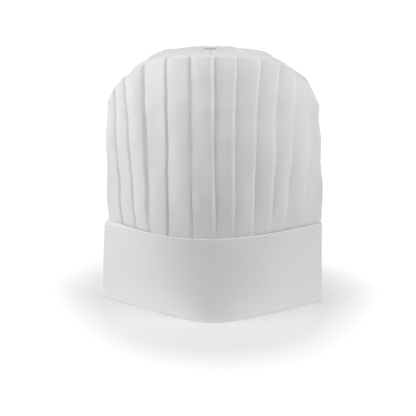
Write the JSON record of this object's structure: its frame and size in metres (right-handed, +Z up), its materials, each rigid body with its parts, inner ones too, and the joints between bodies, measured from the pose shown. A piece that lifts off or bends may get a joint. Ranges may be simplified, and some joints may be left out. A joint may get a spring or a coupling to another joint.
{
  "type": "disposable chef hat",
  "caption": "Tall white disposable chef hat: a knife-pleated non-woven crown gathered and stapled at the top, in a plain paper head band.",
  "frame": {"origin": "middle of the band's lower edge, on the surface that the hat stands on", "axes": "+Z up the crown, front towards -Y, the pressed side folds of the band at -X and +X"},
  "size_m": [0.2568, 0.135, 0.2899],
  "materials": {
    "nonwoven": "matte thin white non-woven sheet with pressed folds",
    "band_paper": "matte smooth white paper-like strip",
    "wire": "bright flat wire"
  },
  "bodies": {
    "root": {"crown": "nonwoven", "band": "band_paper", "staple": "wire"}
  },
  "joints": []
}
